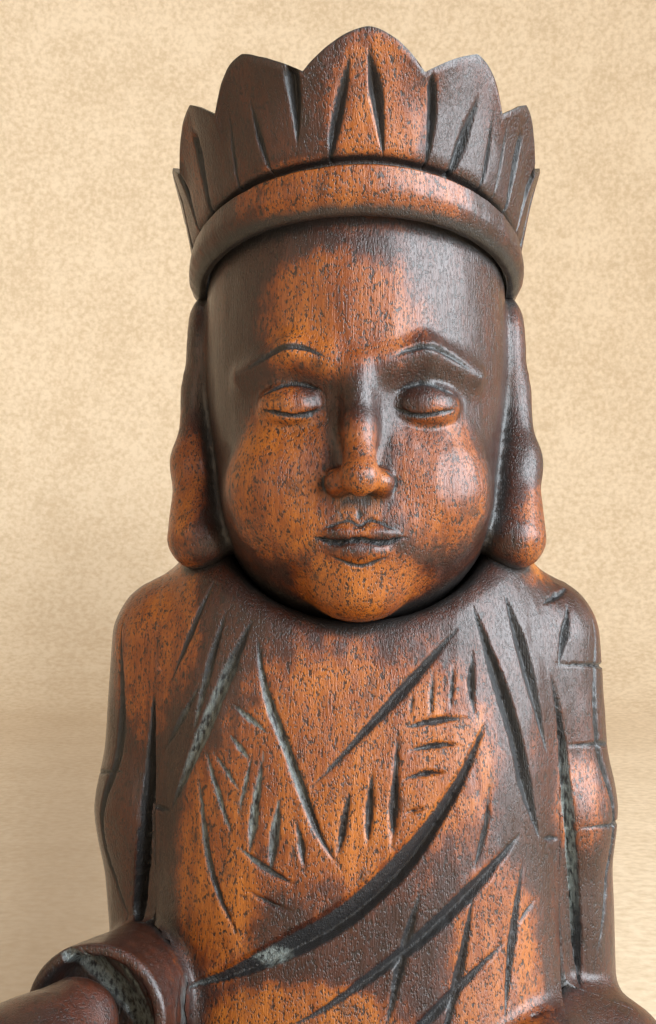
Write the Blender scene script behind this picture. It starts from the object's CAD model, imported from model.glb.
"""Looks of a seated, crowned Buddha carved from stained and varnished hardwood.

The carved masses are distance fields in the figure's own millimetres: x to its left, y to its back
from the trunk's axis, z up from the floor. Each block is meshed from its field, refined, and then
cut with gouge strokes. The crown, the plinth and the felt are lofted directly.
"""
import math

import bpy
import numpy as np
import openvdb
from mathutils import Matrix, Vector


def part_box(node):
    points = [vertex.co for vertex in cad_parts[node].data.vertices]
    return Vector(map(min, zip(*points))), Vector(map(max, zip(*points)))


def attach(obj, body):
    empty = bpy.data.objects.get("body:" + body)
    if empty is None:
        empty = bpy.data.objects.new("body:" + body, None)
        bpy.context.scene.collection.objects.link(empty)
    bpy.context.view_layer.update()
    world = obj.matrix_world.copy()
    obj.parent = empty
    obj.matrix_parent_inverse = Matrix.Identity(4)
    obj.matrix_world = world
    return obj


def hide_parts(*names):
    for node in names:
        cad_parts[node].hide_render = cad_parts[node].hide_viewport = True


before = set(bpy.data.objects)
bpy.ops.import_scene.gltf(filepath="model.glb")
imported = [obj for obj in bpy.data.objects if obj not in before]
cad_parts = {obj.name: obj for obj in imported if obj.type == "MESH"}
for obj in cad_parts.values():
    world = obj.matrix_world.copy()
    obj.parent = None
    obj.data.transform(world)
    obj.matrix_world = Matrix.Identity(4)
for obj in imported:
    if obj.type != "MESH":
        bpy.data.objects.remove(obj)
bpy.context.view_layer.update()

MM = 0.001
TRUNK_Y = 22.0  # the trunk's axis stands this far behind the plinth's middle
OVERLAP = 0.8  # how far glued blocks reach into each other, so that no seam shows
PARTS = 3  # how finely each quad is split where strokes are cut


# ---------------------------------------------------------------- distance fields


def vec(*numbers):
    return np.array(numbers, dtype=np.float64)


def unit(rows):
    """Every row at length 1."""
    return rows / np.maximum(np.linalg.norm(rows, axis=-1, keepdims=True), 1e-9)


def ball(p, centre, radii):
    """Distance to an ellipsoid, close to the true one near its surface."""
    q = (p - vec(*centre)) / vec(*radii)
    near = np.linalg.norm(q, axis=1)
    slope = np.linalg.norm(q / vec(*radii), axis=1)
    return near * (near - 1) / np.maximum(slope, 1e-9)


def bar(p, a, ra, b, rb):
    """Distance to a round bar from a to b whose radius goes from ra to rb."""
    a, b = vec(*a), vec(*b)
    along = b - a
    t = np.clip((p - a) @ along / (along @ along), 0, 1)
    return np.linalg.norm(p - a - t[:, None] * along, axis=1) - (ra + t * (rb - ra))


def chain(p, points, radii, blend):
    """Bars through a list of points, joined smoothly."""
    total = bar(p, points[0], radii[0], points[1], radii[1])
    for k in range(1, len(points) - 1):
        total = join(total, bar(p, points[k], radii[k], points[k + 1], radii[k + 1]), blend)
    return total


def join(a, b, blend):
    """Union of two fields, rounded where they meet."""
    h = np.maximum(blend - np.abs(a - b), 0) / blend
    return np.minimum(a, b) - h * h * blend / 4


def carve(a, b, blend):
    """Field a without field b, rounded at the cut's edge."""
    return -join(-a, b, blend)


def smooth_rows(rows, count):
    """Catmull-Rom samples through the rows of a table."""
    rows = np.array(rows, dtype=np.float64)
    last = len(rows) - 1
    place = np.linspace(0, last - 1e-9, count)
    i = place.astype(int)
    t = (place - i)[:, None]
    p0, p1, p2, p3 = (rows[np.clip(i + k, 0, last)] for k in (-1, 0, 1, 2))
    return 0.5 * (
        2 * p1 + (p2 - p0) * t + (2 * p0 - 5 * p1 + 4 * p2 - p3) * t**2 + (3 * p1 - p0 - 3 * p2 + p3) * t**3
    )


# ---------------------------------------------------------------- the figure's masses

# Level sections of the trunk: z, half width, half depth, y of the middle, squareness.
TRUNK_LEVELS = smooth_rows(
    [
        (40, 54, 39, -3, 2.6),
        (64, 51.5, 37, -2, 2.6),
        (86, 49, 34, -1, 2.6),
        (106, 47, 32, 0, 2.5),
        (128, 46, 31, 1, 2.5),
        (150, 46.5, 30, 2, 2.5),
        (172, 46.5, 28, 3, 2.5),
        (188, 43.5, 25.5, 4, 2.4),
        (198, 36, 21.5, 5, 2.3),
        (205, 22, 15, 5, 2),
    ],
    80,
)


def trunk(p):
    """Chest, belly, back and seat."""
    z = p[:, 2]
    width, depth, middle, power = (np.interp(z, TRUNK_LEVELS[:, 0], TRUNK_LEVELS[:, k]) for k in (1, 2, 3, 4))
    u = np.abs(p[:, 0]) / width + 1e-9
    v = np.abs(p[:, 1] - middle) / depth + 1e-9
    size = (u**power + v**power) ** (1 / power)
    slope = np.hypot((u / size) ** (power - 1) / width, (v / size) ** (power - 1) / depth)
    side = (size - 1) / np.maximum(slope, 1e-3)
    return -join(-side, -(z - 204), 6)


SHOULDER = (40.5, 4, 175.5)
RIGHT = {"side": -1, "elbow": (-42.5, 4, 100), "wrist": (-53, -42, 104), "cuff": 15.0}
LEFT = {"side": 1, "elbow": (46.5, 4, 91), "wrist": (32, -50, 84), "cuff": 12.0}


def upper_arm(p, arm):
    shoulder = (arm["side"] * SHOULDER[0], *SHOULDER[1:])
    elbow = arm["elbow"]
    middle = (arm["side"] * 43.2, 4, 137)
    return chain(p, [shoulder, middle, elbow], [15.3, 15.2, 13.2], 6)


def past_wrist(p, arm):
    """Distance beyond the plane of a sleeve's cuff."""
    elbow, wrist = vec(*arm["elbow"]), vec(*arm["wrist"])
    along = (wrist - elbow) / np.linalg.norm(wrist - elbow)
    return (p - wrist) @ along


def forearm(p, arm):
    """A sleeve that ends in an open cuff round the wrist."""
    cloth = bar(p, arm["elbow"], 13.2, arm["wrist"], arm["cuff"])
    inside = bar(p, arm["elbow"], 5, arm["wrist"], arm["cuff"] - 2.6)
    beyond = past_wrist(p, arm)
    cloth = carve(cloth, -beyond, 1.5)
    hollow = carve(inside, beyond + 7, 1)
    return carve(cloth, hollow, 0.8)


def sleeve_fold(p):
    """The left sleeve's cloth, where it spreads over the thigh."""
    return ball(p, (49, -8, 84), (20.5, 18, 15.5))


def robe(p):
    """Trunk, sleeves and seat as one carved surface."""
    body = trunk(p)
    for arm in (LEFT, RIGHT):
        body = join(body, upper_arm(p, arm), 4)
        body = join(body, forearm(p, arm), 3)
    body = join(body, sleeve_fold(p), 4)
    return carve(body, ball(p, (0, -8, 204), (29.6, 27, 24.2)), 7)


def legs(p):
    """Crossed legs with the cloth between them, and the sole of the upper foot."""
    body = ball(p, (0, -4, 56), (60, 38, 32))
    body = join(body, ball(p, (0, -46, 54), (46, 30, 28)), 10)
    for side in (-1, 1):
        body = join(body, bar(p, (side * 26, -6, 60), 29, (side * 73, -46, 62), 26.3), 8)
    body = join(body, bar(p, (68, -56, 50), 21, (-30, -70, 46), 14.5), 3)
    body = join(body, bar(p, (-68, -56, 57), 23, (22, -71, 57), 15.5), 3)
    sole = chain(p, [(25, -73, 61), (38, -71, 68), (50, -64, 74)], [8.5, 7.5, 6.8], 5)
    for k in range(5):
        base = (52 - k * 0.3, -67.5 + k * 3.1, 75.5 + k * 0.5)
        tip = (58 - k * 1.2, -66 + k * 3.3, 79 - k * 0.2)
        sole = join(sole, bar(p, base, 2.9 - k * 0.2, tip, 2.7 - k * 0.25), 1.2)
    return join(body, sole, 2)


def ear(p, side):
    """A long ear whose lobe hangs to the shoulder."""
    shell = ball(p, (side * 35.2, 5.5, 240), (4.4, 8.6, 14.5))
    spine = [(side * 35.9, 3, 234), (side * 36.3, -2, 216), (side * 34.6, -8.5, 199.5)]
    body = join(shell, chain(p, spine, [3.6, 4.6, 7.4], 5), 4)
    return carve(body, ball(p, (side * 40.6, 5.8, 241), (3.4, 5.4, 9.6)), 1.5)


# The features stand on equal thirds counted up from the chin: the base of the nose, then the brow.
# The head is five eye widths across.
CHIN_Z = 181.0
THIRD = 27.3
NOSE_Z = CHIN_Z + THIRD
BROW_Z = NOSE_Z + THIRD
EYE_Z = BROW_Z - 8.3
MOUTH_Z = NOSE_Z - THIRD / 3
EYE_WIDTH = 13.4


def face(p, skull):
    """Adds brow, eyes, nose, mouth, cheeks and chin to the skull's field."""
    for side in (-1, 1):
        eye_x = side * EYE_WIDTH
        skull = join(skull, ball(p, (side * 16, -22, NOSE_Z + 1), (11, 9.6, 12)), 9)
        skull = carve(skull, ball(p, (eye_x, -40.5, EYE_Z + 0.5), (9.6, 11, 6.8)), 4.5)
        arch = [(6, -31.4, 0.5), (14, -30.4, 2.6), (25, -22.5, -2)]
        brow = chain(p, [(side * x, y, BROW_Z + rise) for x, y, rise in arch], [1.6, 1.6, 1.0], 2)
        skull = join(skull, brow, 5)
        skull = join(skull, ball(p, (eye_x, -25.4, EYE_Z - 0.2), (8.0, 7.2, 5.6)), 1.0)
    bridge = [(0, -32.0, BROW_Z - 1), (0, -34.8, EYE_Z - 5), (0, -38.4, NOSE_Z + 4.4)]
    skull = join(skull, chain(p, bridge, [2.4, 2.9, 3.6], 3), 4)
    skull = join(skull, ball(p, (0, -38.8, NOSE_Z + 3.4), (4.0, 3.9, 3.6)), 2)
    for side in (-1, 1):
        skull = join(skull, ball(p, (side * 4.5, -35.2, NOSE_Z + 2.8), (2.7, 4.0, 2.8)), 1.4)
        skull = carve(skull, ball(p, (side * 2.6, -38.4, NOSE_Z - 0.4), (1.4, 2.2, 1.2)), 0.8)
    skull = join(skull, ball(p, (0, -28.5, MOUTH_Z), (13, 5.6, 9)), 6)
    for side in (-1, 1):
        skull = join(skull, ball(p, (side * 2.6, -33.2, MOUTH_Z + 1.5), (5.4, 2.9, 1.9)), 1.2)
    skull = join(skull, ball(p, (0, -32.8, MOUTH_Z - 2.2), (6.6, 3.0, 2.3)), 1.2)
    return join(skull, ball(p, (0, -25.5, CHIN_Z + 6.8), (8.5, 6.6, 5.6)), 7)


def head(p):
    """Head, ears and the tenon that goes down into the trunk."""
    skull = join(ball(p, (0, 2, 240), (34.3, 34.8, 38)), ball(p, (0, 1.5, 256), (33.3, 33.8, 34)), 4)
    skull = join(skull, ball(p, (0, -3, 216), (31.2, 29, 35)), 8)
    skull = join(skull, ball(p, (0, -8, 204), (27, 24.3, 22.5)), 8)
    skull = face(p, skull)
    for side in (-1, 1):
        skull = join(skull, ear(p, side), 1.5)
    dish = p[:, 2] - (266 - 0.25 * p[:, 1])
    skull = -join(-skull, -dish, 4)
    tenon = np.maximum(np.hypot(p[:, 0], p[:, 1] - 4) - 12, np.maximum(158 - p[:, 2], p[:, 2] - 205))
    return np.minimum(skull, tenon)


def right_hand(p):
    """The hand that rests on the right knee, palm down."""
    palm = ball(p, (-64, -55, 103), (14, 13, 8.5))
    palm = join(palm, bar(p, (-56, -46, 105), 8.5, (-60, -51, 104), 8.5), 4)
    for k in (-1.5, -0.5, 0.5, 1.5):
        knuckle = (-67 - k * 6, -61 + k * 3.4, 104)
        middle = (-72.5 - k * 6, -69.5 + k * 3, 97.5)
        tip = (-76 - k * 5.6, -74.5 + k * 3, 83.5 + 3.6 * abs(k - 0.2))
        finger = chain(p, [knuckle, middle, tip], [4.6, 4.1, 3.5], 2)
        palm = join(palm, finger, 1.6)
    thumb = chain(p, [(-57, -56, 102), (-55.5, -65, 97), (-56.5, -71, 90)], [5, 4.4, 3.8], 2)
    return join(palm, thumb, 2.5)


def left_hand(p):
    """The hand that lies in the lap, palm up."""
    palm = ball(p, (16, -61, 87), (13.5, 12.5, 6))
    palm = join(palm, bar(p, (28, -53, 85.5), 7, (20, -58, 87), 7), 4)
    palm = carve(palm, ball(p, (13, -61, 95), (9, 8, 4.5)), 4)
    for k in (-1.5, -0.5, 0.5, 1.5):
        start = (8, -62 + k * 5.6, 87.5)
        middle = (-4, -63.5 + k * 5.4, 89)
        tip = (-16 + abs(k - 0.4) * 2.5, -64 + k * 5, 90)
        palm = join(palm, chain(p, [start, middle, tip], [4.2, 3.9, 3.3], 2), 1.4)
    thumb = chain(p, [(19, -51, 89), (10, -47.5, 92.5), (1, -48, 95)], [4.8, 4.3, 3.5], 2)
    return join(palm, thumb, 2.5)


# ---------------------------------------------------------------- where the blocks part

LAP_Z = 90.15
FOREARM_Y = -12.0
PLINTH_TOP = 34.3
SEAM_ROUND = 0.1


def beyond_seam(p, side):
    """Distance outwards past the glue face between the trunk and an arm."""
    return side * p[:, 0] - 43.15


def keep(body, *limits, soft=SEAM_ROUND):
    """The part of a field on the inner side of every limit, reaching a little past each."""
    for limit in limits:
        body = -join(-body, OVERLAP - limit, soft)
    return body


def lap_mass(p):
    low = join(legs(p), trunk(p), 6)
    return join(low, sleeve_fold(p), 4)


def cloth_of(p, arm):
    """A forearm's sleeve with the end of the upper arm and the fold that hangs from it."""
    cloth = join(forearm(p, arm), upper_arm(p, arm), 3)
    return join(cloth, sleeve_fold(p), 4) if arm is LEFT else cloth


def above_lap(p):
    return LAP_Z - p[:, 2]


def behind_forearm(p):
    return FOREARM_Y - p[:, 1]


def trunk_block(p):
    body = keep(robe(p), beyond_seam(p, -1), beyond_seam(p, 1), above_lap(p))
    for arm in (LEFT, RIGHT):
        body = carve(body, np.maximum(forearm(p, arm), -behind_forearm(p)) + OVERLAP, SEAM_ROUND)
    return carve(body, head(p) + OVERLAP, SEAM_ROUND)


def arm_block(p, arm):
    body = keep(robe(p), -beyond_seam(p, arm["side"]), behind_forearm(p), above_lap(p))
    return carve(body, head(p) + OVERLAP, SEAM_ROUND)


def low_lap(p):
    return np.maximum(lap_mass(p), -above_lap(p)) + OVERLAP


def forearm_block(p, arm):
    body = keep(cloth_of(p, arm), -behind_forearm(p))
    body = carve(body, trunk(p) + OVERLAP, SEAM_ROUND)
    return carve(body, low_lap(p), SEAM_ROUND)


def lap_block(p):
    return keep(keep(lap_mass(p), -above_lap(p), soft=2.5), PLINTH_TOP - p[:, 2])


def hand_block(p, hand, arm):
    body = carve(hand(p), low_lap(p), SEAM_ROUND)
    return carve(body, forearm(p, arm) + OVERLAP, SEAM_ROUND)


# ---------------------------------------------------------------- meshes from fields


def slope_of(p, field, value):
    """Gradient of a field by forward differences."""
    step = 0.04
    columns = []
    for axis in range(3):
        moved = p.copy()
        moved[:, axis] += step
        columns.append((field(moved) - value) / step)
    return np.stack(columns, axis=1)


def onto(p, field, rounds):
    """Moves points onto a field's zero surface and returns them with its outward normals."""
    for _ in range(rounds):
        value = field(p)
        slope = slope_of(p, field, value)
        steep = np.maximum((slope**2).sum(axis=1), 0.2)
        move = slope * np.clip(value / steep, -1.5, 1.5)[:, None]
        p = p - move
    return p, unit(slope)


def snapped(points, body, limits, reach):
    """Moves points that lie within reach of a seam's edge onto the edge itself."""
    points = points.copy()
    value = body(points)
    for limit in limits:
        near = (np.abs(limit(points) - OVERLAP) < reach) & (np.abs(value) < reach)
        edge = points[near]
        for _ in range(3 if len(edge) else 0):
            for field, target in ((limit, OVERLAP), (body, 0.0)):
                miss = field(edge)
                slope = slope_of(edge, field, miss)
                steep = np.maximum((slope**2).sum(axis=1), 0.2)
                edge = edge - slope * ((miss - target) / steep)[:, None]
        moved = np.linalg.norm(edge - points[near], axis=1) < 2.5 * reach
        points[np.flatnonzero(near)[moved]] = edge[moved]
    return points


def refine(columns, quads, chosen, parts):
    """Splits the chosen quads into parts x parts and gives their neighbours the new edge points.

    columns are the points' places and values, one row for each point. Returns the longer table and
    the faces as one flat list of corners with the place where each face starts.
    """
    count = len(columns)
    following = np.roll(quads, -1, axis=1)
    keys = np.minimum(quads, following) * count + np.maximum(quads, following)
    split_keys = np.unique(keys[chosen])
    low, high = columns[split_keys // count], columns[split_keys % count]
    steps = np.arange(1, parts) / parts
    edge_rows = low[:, None] + (high - low)[:, None] * steps[None, :, None]
    run = np.arange(parts - 1)

    def edge_points(rows, k):
        """New points of edge k of some quads, in the order from corner k to the next one."""
        first = count + np.searchsorted(split_keys, keys[rows, k]) * (parts - 1)
        forward = first[:, None] + run
        return np.where((quads[rows, k] < following[rows, k])[:, None], forward, forward[:, ::-1])

    rows = np.flatnonzero(chosen)
    grid = np.zeros((len(rows), parts + 1, parts + 1), dtype=np.int64)
    grid[:, 0, 0], grid[:, parts, 0], grid[:, parts, parts], grid[:, 0, parts] = quads[rows].T
    grid[:, 1:parts, 0] = edge_points(rows, 0)
    grid[:, parts, 1:parts] = edge_points(rows, 1)
    grid[:, 1:parts, parts] = edge_points(rows, 2)[:, ::-1]
    grid[:, 0, 1:parts] = edge_points(rows, 3)[:, ::-1]
    inner_start = count + len(split_keys) * (parts - 1)
    inner = inner_start + np.arange(len(rows) * (parts - 1) ** 2)
    grid[:, 1:parts, 1:parts] = inner.reshape(len(rows), parts - 1, parts - 1)
    corner = columns[quads[rows]][:, :, None, None, :]
    u, v = steps[:, None, None], steps[None, :, None]
    inner_rows = (corner[:, 0] * (1 - u) + corner[:, 1] * u) * (1 - v)
    inner_rows = inner_rows + (corner[:, 3] * (1 - u) + corner[:, 2] * u) * v
    table = np.concatenate(
        [columns, edge_rows.reshape(-1, columns.shape[1]), inner_rows.reshape(-1, columns.shape[1])]
    )
    small = np.stack([grid[:, :-1, :-1], grid[:, 1:, :-1], grid[:, 1:, 1:], grid[:, :-1, 1:]], axis=-1)
    touched = np.isin(keys, split_keys)
    plain = ~chosen & ~touched.any(axis=1)
    corners = [small.reshape(-1), quads[plain].reshape(-1)]
    sizes = [np.full(small.size // 4 + plain.sum(), 4)]
    for row in np.flatnonzero(~chosen & touched.any(axis=1)):
        loop = []
        for k in range(4):
            loop.append(quads[row, k])
            if touched[row, k]:
                loop.extend(edge_points(np.array([row]), k)[0])
        corners.append(np.array(loop))
        sizes.append(np.array([len(loop)]))
    sizes = np.concatenate(sizes)
    return table, np.concatenate(corners), np.cumsum(sizes) - sizes


def relax(points, quads):
    """Moves each point halfway to the mean of its neighbours."""
    total = np.zeros_like(points)
    count = np.zeros(len(points))
    for k in range(4):
        a, b = quads[:, k], quads[:, k - 1]
        for here, there in ((a, b), (b, a)):
            np.add.at(total, here, points[there])
            np.add.at(count, here, 1)
    return (points + total / np.maximum(count, 1)[:, None]) / 2


def coarse_mesh(field, low, high, cell):
    """An even quad mesh of a field's surface between two corners, with its normals."""
    axes = [np.arange(a, b + cell, cell) for a, b in zip(low, high)]
    grid = np.stack(np.meshgrid(*axes, indexing="ij"), axis=-1)
    flat = grid.reshape(-1, 3)
    values = np.concatenate([field(part) for part in np.array_split(flat, max(1, len(flat) // 200000))])
    volume = openvdb.FloatGrid(3 * cell)
    volume.copyFromArray(np.clip(values, -3 * cell, 3 * cell).reshape(grid.shape[:3]).astype(np.float32))
    points, quads = volume.convertToQuads(0.0)
    points = np.asarray(points, dtype=np.float64) * cell + vec(*low)
    quads = np.asarray(quads, dtype=np.int64)
    for _ in range(2):
        points, _ = onto(points, field, 2)
        points = relax(points, quads)
    points, normal = onto(points, field, 3)
    first, second, third = (points[quads[:, k]] for k in range(3))
    if (np.cross(second - first, third - first) * normal[quads[:, 0]]).sum() < 0:
        quads = quads[:, ::-1].copy()
    return points, quads, normal


# ---------------------------------------------------------------- noise and strokes

LATTICE = np.random.default_rng(7).random((32, 32, 32))


def noise(p, stretch, shift=0.0):
    """Smooth noise from -1 to 1. stretch is how many cells it has per millimetre on each axis."""
    q = p * vec(*stretch) + shift
    cell = np.floor(q).astype(int)
    t = q - cell
    t = t * t * (3 - 2 * t)
    total = np.zeros(len(p))
    for dx in (0, 1):
        for dy in (0, 1):
            for dz in (0, 1):
                weight = (
                    (t[:, 0] if dx else 1 - t[:, 0])
                    * (t[:, 1] if dy else 1 - t[:, 1])
                    * (t[:, 2] if dz else 1 - t[:, 2])
                )
                x, y, z = ((cell + (dx, dy, dz)) % 32).T
                total += weight * LATTICE[x, y, z]
    return 2 * total - 1


def beside(uv, path, reach):
    """Which chart points lie within reach of a path's box, and for those how far along it they are,
    from 0 to 1, how far off to its right, and whether they lie beyond an end."""
    line = smooth_rows(path, 6 * len(path))
    near = np.all((uv > line.min(axis=0) - reach) & (uv < line.max(axis=0) + reach), axis=1)
    points = uv[near]
    lengths = np.linalg.norm(np.diff(line, axis=0), axis=1)
    starts = np.concatenate([[0], np.cumsum(lengths)])
    best = np.full(len(points), 1e9)
    along = np.zeros(len(points))
    offset = np.zeros(len(points))
    for k, (a, b) in enumerate(zip(line[:-1], line[1:])):
        way = b - a
        t = np.clip((points - a) @ way / max(way @ way, 1e-9), 0, 1)
        gap = points - a - t[:, None] * way
        distance = np.linalg.norm(gap, axis=1)
        closer = distance < best
        best = np.where(closer, distance, best)
        along = np.where(closer, (starts[k] + t * lengths[k]) / starts[-1], along)
        right = gap[:, 0] * way[1] - gap[:, 1] * way[0] > 0
        offset = np.where(closer, np.where(right, distance, -distance), offset)
    return near, along, offset


def cut(uv, path, width, depth, tips=(0.45, 0.45), floor=0.0, lip=0.0):
    """Depth of one gouge stroke at chart points uv.

    path is the stroke's centre line and width its widest place. tips are the shares of its length
    over which each end runs out. floor moves the bottom of the V towards one edge, from -1 to 1.
    lip raises the wood along the stroke's right-hand side.
    """
    depths = np.zeros(len(uv))
    near, along, offset = beside(uv, path, width / 2 + (14 if lip else 0))
    if not near.any():
        return depths
    run = np.clip(np.minimum(along / tips[0], (1 - along) / tips[1]), 0, 1) ** 0.7
    half = np.maximum(width / 2 * run, 1e-6)
    u = offset / half
    wall = np.minimum((1 + u) / (1 + floor), (1 - u) / (1 - floor))
    result = depth * run * np.clip(wall, 0, 1)
    if lip:
        inside = (along > 0) & (along < 1)
        side = np.clip(offset - half * floor, 0, None)
        rise = lip * run * np.clip(side / (half * (1 - floor)), 0, 1) * np.exp(-side / 6)
        result = result - np.where(inside, rise, 0)
    depths[near] = result
    return depths


def cuts(uv, strokes):
    """Depth of several strokes together: where they cross, the deeper one counts."""
    total = np.zeros(len(uv))
    raised = np.zeros(len(uv))
    for stroke in strokes:
        depth = cut(uv, *stroke)
        total = np.maximum(total, depth)
        raised = np.minimum(raised, depth)
    return total + raised


def touched(uv, strokes):
    """1 at the chart points that lie on a stroke or less than 1.4 mm beside it."""
    found = np.zeros(len(uv))
    for path, width, *_ in strokes:
        near, _, offset = beside(uv, path, width / 2 + 1.4)
        found[near] = np.maximum(found[near], np.abs(offset) < width / 2 + 1.4)
    return found


# ---------------------------------------------------------------- the strokes

# Each stroke is a path of (across, up) points in millimetres, its width and its depth, and for some
# the shares that its ends take, the side its floor leans to and the height of its raised edge.

CHEST_STROKES = [
    # parallel folds on the right shoulder
    ([(-30.8, 191), (-36.5, 178), (-41, 167)], 1.5, 0.9),
    ([(-27.9, 185), (-31.9, 171.5), (-35.2, 158)], 2.0, 1.1),
    ([(-33.3, 169), (-38.2, 160), (-42.5, 152.4)], 1.5, 0.8),
    ([(-22.4, 182.5), (-27.1, 172), (-34.1, 155.5), (-40.3, 140.5)], 3.0, 1.8, (0.25, 0.4), 0.3),
    # the neckline's two edges
    ([(-21.7, 179.5), (-19.5, 167), (-15.1, 155.5), (-8.5, 138.5), (-3, 130)], 2.2, 1.3, (0.3, 0.3), -0.3),
    ([(21.8, 181), (8.3, 166.3), (-10.7, 146.6)], 2.8, 1.5, (0.35, 0.6), 0.3),
    # short cuts of the inner robe, right breast
    ([(-26.8, 164.5), (-18.7, 158.3)], 1.6, 0.8),
    ([(-27.1, 158), (-22.8, 152.8)], 1.5, 0.8),
    ([(-30.8, 154.6), (-24.6, 146)], 1.2, 0.6),
    ([(-22, 155.4), (-25.7, 139.6)], 1.1, 0.6),
    ([(-19.8, 155.4), (-21.6, 144), (-22.8, 133.4)], 2.2, 1.2, (0.6, 0.3)),
    ([(-16.5, 146.2), (-18.4, 129.8)], 2.4, 1.3, (0.5, 0.35)),
    ([(-12.9, 141.1), (-11.1, 130.1)], 1.8, 1.0),
    ([(-13, 137), (-14.5, 131.5)], 1.0, 0.5),
    ([(-32.6, 155.4), (-30.4, 148), (-26, 135.6)], 1.5, 0.8),
    ([(-34.1, 150.2), (-31.9, 133.4), (-29, 124), (-24.6, 116)], 1.7, 0.9, (0.4, 0.3)),
    ([(-25.7, 135.3), (-19.5, 131), (-12.2, 127.2)], 1.9, 1.0),
    ([(-23.8, 126.5), (-18.5, 124), (-12.9, 122)], 1.4, 0.7),
    ([(-21.7, 119.5), (-24.6, 115.2)], 1.1, 0.5),
    # short cuts of the inner robe, left breast
    ([(-1.6, 148), (-4.5, 133)], 2.2, 1.2, (0.5, 0.35)),
    ([(2.8, 151.7), (1.7, 134.9)], 2.3, 1.3, (0.5, 0.35)),
    ([(8.3, 159.7), (6.8, 134.5)], 2.5, 1.4, (0.6, 0.3)),
    ([(11.4, 167.8), (10.9, 161.2)], 0.9, 0.5),
    ([(16.0, 172.4), (14.9, 161)], 1.1, 0.6),
    ([(20.4, 173.6), (19.3, 162.7)], 1.2, 0.7),
    ([(24.4, 175.8), (23.9, 168), (24.6, 161.9)], 2.0, 1.1),
    ([(9, 159.7), (16, 161.2), (23.3, 161.6)], 1.9, 1.1),
    ([(9.8, 155), (15.6, 156.1), (21.5, 156.1)], 1.9, 1.1),
    ([(8.7, 149.1), (13.8, 150.4), (18.9, 150.6)], 1.8, 1.1),
    ([(8.7, 142.2), (14.5, 143.7)], 1.5, 0.9),
    # long folds on the left shoulder
    ([(24.4, 185.3), (28, 174.4), (33.1, 158.3), (36.1, 145), (39, 134.9)], 3.4, 2.0, (0.35, 0.25), -0.3),
    ([(31.7, 187.5), (36.1, 172.9), (41.2, 152.4)], 3.0, 1.7, (0.3, 0.5), -0.3),
    ([(39.7, 134.9), (44.1, 133.8)], 1.5, 0.8),
    ([(-45.8, 140.7), (-39.9, 140.7)], 1.5, 0.8),
    # the sash's upper edge, from the left shoulder to the right hip
    (
        [
            (26.9, 161.2), (22.9, 152.4), (17.1, 143), (8.3, 132),
            (-3.4, 121.7), (-15.1, 115.2), (-26.8, 109.3), (-37, 105),
        ],
        6.0, 3.0, (0.4, 0.3), -0.5, 1.5,
    ),
    # crossing folds below it
    (
        [(34.2, 136.7), (24.4, 127), (14.1, 118), (5.4, 111.5), (-6.3, 103.5), (-16, 98.5)],
        3.6, 2.0, (0.25, 0.6), -0.2,
    ),
    ([(31.3, 115.5), (22.9, 108.6), (12, 99.1), (2, 93)], 2.6, 1.4),
    ([(27.7, 148.8), (26.9, 140), (24, 129.8)], 1.6, 0.8, (0.6, 0.3)),
    ([(24, 126.1), (21.5, 113), (17.8, 98.4), (15, 92)], 2.4, 1.3),
    ([(13.1, 127.2), (9.8, 116.6), (5.4, 98.4)], 2.4, 1.3, (0.4, 0.4)),
    ([(35.3, 132), (32.4, 115.2), (30.2, 98.4)], 2.2, 1.2),
    ([(38, 123), (33.2, 117.4)], 1.1, 0.5),
]

SEAM_STROKES = [
    # slits between the arms and the trunk
    ([(-44.6, 166), (-45.4, 148), (-47.2, 126), (-48.6, 112)], 3.4, 3.6, (0.45, 0.12)),
    ([(42.3, 170), (44.6, 158), (45.4, 148), (46.8, 133.4), (48.2, 114.4), (49, 100)], 2.6, 2.4, (0.3, 0.15)),
    # nicks on the left sleeve
    ([(40.5, 184.6), (47.8, 187.9)], 1.8, 1.0),
    ([(47, 184.6), (45.6, 178), (44.1, 171.4)], 2.4, 1.4),
]

RIGHT_SLEEVE_STROKES = [
    (
        [(-52, 122.4), (-44.5, 120), (-38.6, 117.4), (-35.8, 112.4), (-35.2, 103), (-37, 96)],
        4.6, 1.3, (0.2, 0.2),
    ),
    ([(-62, 119.5), (-55, 113.6), (-48, 107.6), (-43, 101), (-41, 94)], 4.6, 1.5, (0.2, 0.2)),
    ([(-53, 117.5), (-48, 112.5), (-43.5, 106), (-41.5, 101)], 1.3, 0.6),
    ([(-56.5, 118.5), (-51, 113)], 1.1, 0.5),
]

# Folds and nicks along the outsides of the sleeves, on the chart of (y, z).
LEFT_SIDE_STROKES = [
    ([(-14, 172), (2, 170), (14, 171)], 1.6, 1.0),
    ([(-12, 154), (4, 152)], 1.5, 0.9),
    ([(-13, 136), (3, 134.5), (12, 136)], 1.6, 1.0),
    ([(-2, 186), (-6, 160), (-4, 130), (-8, 104)], 2.0, 1.1),
    ([(10, 184), (12, 150), (9, 112)], 2.0, 1.1),
    ([(22, 180), (24, 150), (20, 100)], 1.6, 0.8),
]
RIGHT_SIDE_STROKES = [
    ([(-4, 184), (-7, 158), (-5, 128), (-9, 112)], 2.2, 1.2),
    ([(8, 186), (11, 152), (8, 116)], 2.0, 1.1),
    ([(21, 180), (23, 148), (20, 104)], 1.6, 0.8),
    ([(-10, 148), (5, 145)], 1.4, 0.8),
]

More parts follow.
